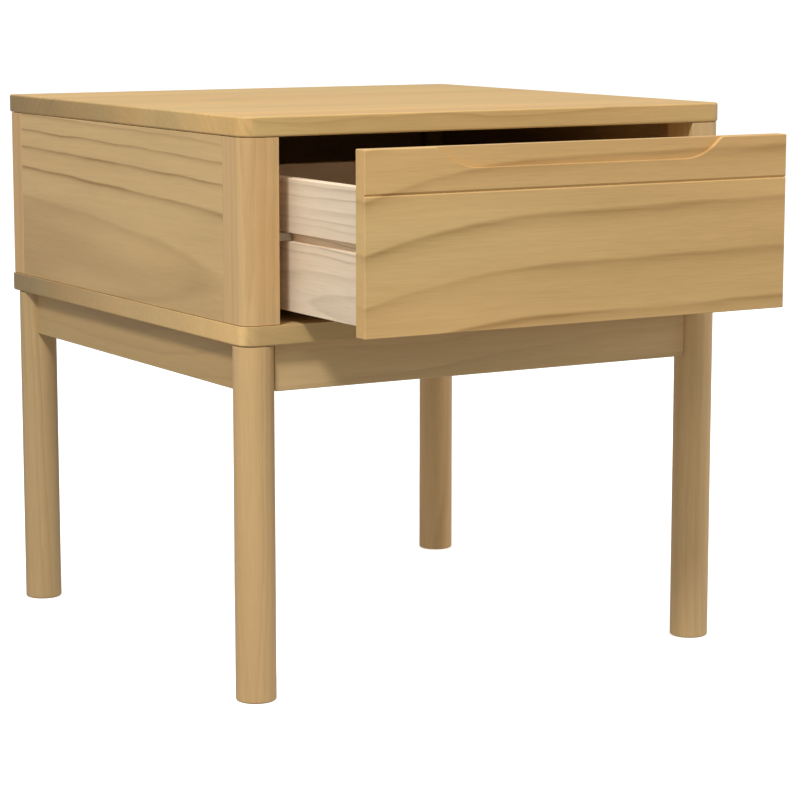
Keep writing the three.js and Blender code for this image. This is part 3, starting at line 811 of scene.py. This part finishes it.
def add_drawer_side(side_name, side, **looks):
    """A side of the drawer box, grooved outside for its runner."""
    node = f"drawer_side_{side_name}"
    low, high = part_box(node)
    outer, inner = (low[0], high[0]) if side < 0 else (high[0], low[0])
    floor = outer - side * SIDE_GROOVE_DEPTH
    outline = [
        (outer, low[2]),
        (outer, RUNNER_Z - SIDE_GROOVE_HALF),
        (floor, RUNNER_Z - SIDE_GROOVE_HALF),
        (floor, RUNNER_Z + SIDE_GROOVE_HALF),
        (outer, RUNNER_Z + SIDE_GROOVE_HALF),
        (outer, high[2]),
        (inner, high[2]),
        (inner, low[2]),
    ]
    bm = prism(outline, "Y", low[1], high[1])
    round_edges(bm, BOX_EASE)
    name = f"box_side_{side_name}"
    material = pine(name + "_pine", low, high, grain="Y", across="Z", finish=RAW, **looks)
    add_piece(name, mesh_of(name, bm), "drawer", "raw_pine", material, node)


add_drawer_side(
    "left", -1, seed=9.6, pith_across=-0.045, pith_below=0.03, ring=0.0085, wander=0.035,
    contrast=1.2, softness=4.5, tone=1.05,
)
add_drawer_side("right", 1, seed=4.8, pith_across=-0.03, pith_below=-0.05, ring=0.010, wander=0.02)
# The drawer back is darkened and cooled: painted shade for the tabletop's shadow inside the case.
add_board(
    "box_back", "drawer_back", "drawer", "raw_pine", ease=BOX_EASE, grain="X", across="Z", finish=RAW, tone=0.5,
    warm=0.85, seed=7.7, ring=0.010,
)
add_board(
    "box_bottom", "drawer_bottom", "drawer", "plywood", ease=PLYWOOD_EASE, grain="X", across="Y", finish=RAW,
    tone=0.82, warm=1.15, seed=9.4, ring=0.020, pith_below=-0.35, wander=0.25, contrast=0.4,
)


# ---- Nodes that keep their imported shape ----

STEEL_PATCH_SCALE = (420.0, 420.0, 420.0)
SCRATCH_SCALE = (300.0, 2600.0, 2600.0)
SCRATCH_DEPTH = 0.05 * MM
COOL_ZINC = (0.56, 0.57, 0.60, 1.0)
WARM_ZINC = (0.68, 0.67, 0.64, 1.0)
SMOOTHEST_STEEL = 0.22
DULLEST_STEEL = 0.42


def steel():
    material = bpy.data.materials.new("zinc_plated_steel")
    material.use_nodes = True
    n = Nodes(material.node_tree)
    shader = n.tree.nodes["Principled BSDF"]
    place = n.add("TexCoord").outputs["Object"]
    patches = n.noise(place, STEEL_PATCH_SCALE, 3.0)
    scratches = n.noise(place, SCRATCH_SCALE, shift=3.0)
    n.feed(shader.inputs["Base Color"], n.mix(n.remap(patches, 0.3, 0.7), COOL_ZINC, WARM_ZINC))
    n.feed(shader.inputs["Roughness"], n.remap(scratches, 0.25, 0.75, SMOOTHEST_STEEL, DULLEST_STEEL))
    bump = n.add("Bump", {"Height": scratches, "Strength": 0.2, "Distance": SCRATCH_DEPTH})
    n.feed(shader.inputs["Normal"], bump.outputs[0])
    shader.inputs["Metallic"].default_value = 1.0
    return material


STEEL = steel()
for name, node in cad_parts.items():
    if node.hide_render:
        continue
    low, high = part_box(name)
    if "dowel" in name:
        grain = "Y" if name.startswith("drawer") else "Z"
        material = pine(
            name + "_beech", low, high, grain, ring=0.002, wander=0.004, contrast=0.3, warm=0.8, seed=41
        )
    elif "block" in name:
        material = pine(name + "_pine", low, high, "X", finish=RAW, ring=0.006, seed=43 + low[0] * 9)
    else:
        material = STEEL
    node.material_slots[0].material = material


# ---- Stage, light and camera ----

STAGE_RADIUS = 20.0
STAGE_SIDES = 64
FLOOR_THICKNESS = 0.05
FLOOR_GLOW = 0.72
BACKDROP_GLOW = 1.1
WORLD_STRENGTH = 0.425
AIM = (0, 0, 0.3)  # the lights point at the middle of the table
SENSOR = 36.0


def add_stage_piece(name, bm, material):
    """A piece of the stage that only the camera sees, so that the world lights the object from below."""
    piece = bpy.data.objects.new(name, mesh_of(name, bm))
    piece.data.materials.append(material)
    for face in piece.data.polygons:
        face.use_smooth = False
    piece.visible_diffuse = False
    piece.visible_glossy = False
    piece.visible_shadow = False
    bpy.context.scene.collection.objects.link(piece)


def white(name, emission):
    """Matt white with a little light of its own."""
    material = bpy.data.materials.new(name)
    material.use_nodes = True
    shader = material.node_tree.nodes["Principled BSDF"]
    shader.inputs["Base Color"].default_value = (0.9, 0.9, 0.9, 1.0)
    shader.inputs["Roughness"].default_value = 1.0
    shader.inputs["Specular IOR Level"].default_value = 0.0
    shader.inputs["Emission Color"].default_value = (1.0, 1.0, 1.0, 1.0)
    shader.inputs["Emission Strength"].default_value = emission
    return material


def add_stage():
    circle = arc((0, 0), STAGE_RADIUS, 0, 360, STAGE_SIDES)[:-1]
    add_stage_piece("floor", prism(circle, "Z", -FLOOR_THICKNESS, 0.0), white("pale_floor", FLOOR_GLOW))
    dome = bmesh.new()
    bmesh.ops.create_uvsphere(
        dome, u_segments=STAGE_SIDES, v_segments=STAGE_SIDES // 2, radius=STAGE_RADIUS
    )
    add_stage_piece("backdrop", dome, white("pale_backdrop", BACKDROP_GLOW))


def add_light(name, place, size, power):
    """A white disc of light, with its size in metres and its power in watts."""
    data = bpy.data.lights.new(name, "AREA")
    data.shape = "DISK"
    data.size = size
    data.energy = power
    lamp = bpy.data.objects.new(name, data)
    lamp.location = place
    lamp.rotation_mode = "QUATERNION"
    lamp.rotation_quaternion = (Vector(AIM) - Vector(place)).to_track_quat("-Z", "Y")
    bpy.context.scene.collection.objects.link(lamp)


def add_world(strength):
    world = bpy.data.worlds.new("studio")
    world.use_nodes = True
    background = world.node_tree.nodes["Background"]
    background.inputs["Color"].default_value = (1.0, 1.0, 1.0, 1.0)
    background.inputs["Strength"].default_value = strength
    bpy.context.scene.world = world


def add_camera(place, heading, pitch, lens):
    """Heading turns from +Y towards +X and pitch is above the horizon, both in degrees."""
    data = bpy.data.cameras.new("camera")
    data.sensor_width = SENSOR
    data.lens = lens
    camera = bpy.data.objects.new("camera", data)
    camera.location = place
    turn, rise = math.radians(heading), math.radians(pitch)
    ahead = Vector((math.sin(turn) * math.cos(rise), math.cos(turn) * math.cos(rise), math.sin(rise)))
    camera.rotation_mode = "QUATERNION"
    camera.rotation_quaternion = ahead.to_track_quat("-Z", "Y")
    bpy.context.scene.collection.objects.link(camera)
    bpy.context.scene.camera = camera


add_stage()
add_world(WORLD_STRENGTH)
add_light("key", (-1.85, -1.45, 2.9), size=0.6, power=80)
add_light("front", (-0.9, -2.6, 2.2), size=1.0, power=7)
add_light("overhead", (-0.2, 0.2, 3.2), size=1.4, power=17)
add_light("fill", (2.8, -0.8, 1.4), size=1.6, power=24)
add_camera((-1.2897, -2.1997, 0.6240), heading=30.553, pitch=-8.947, lens=122.3)
bpy.context.scene.view_settings.view_transform = "Standard"
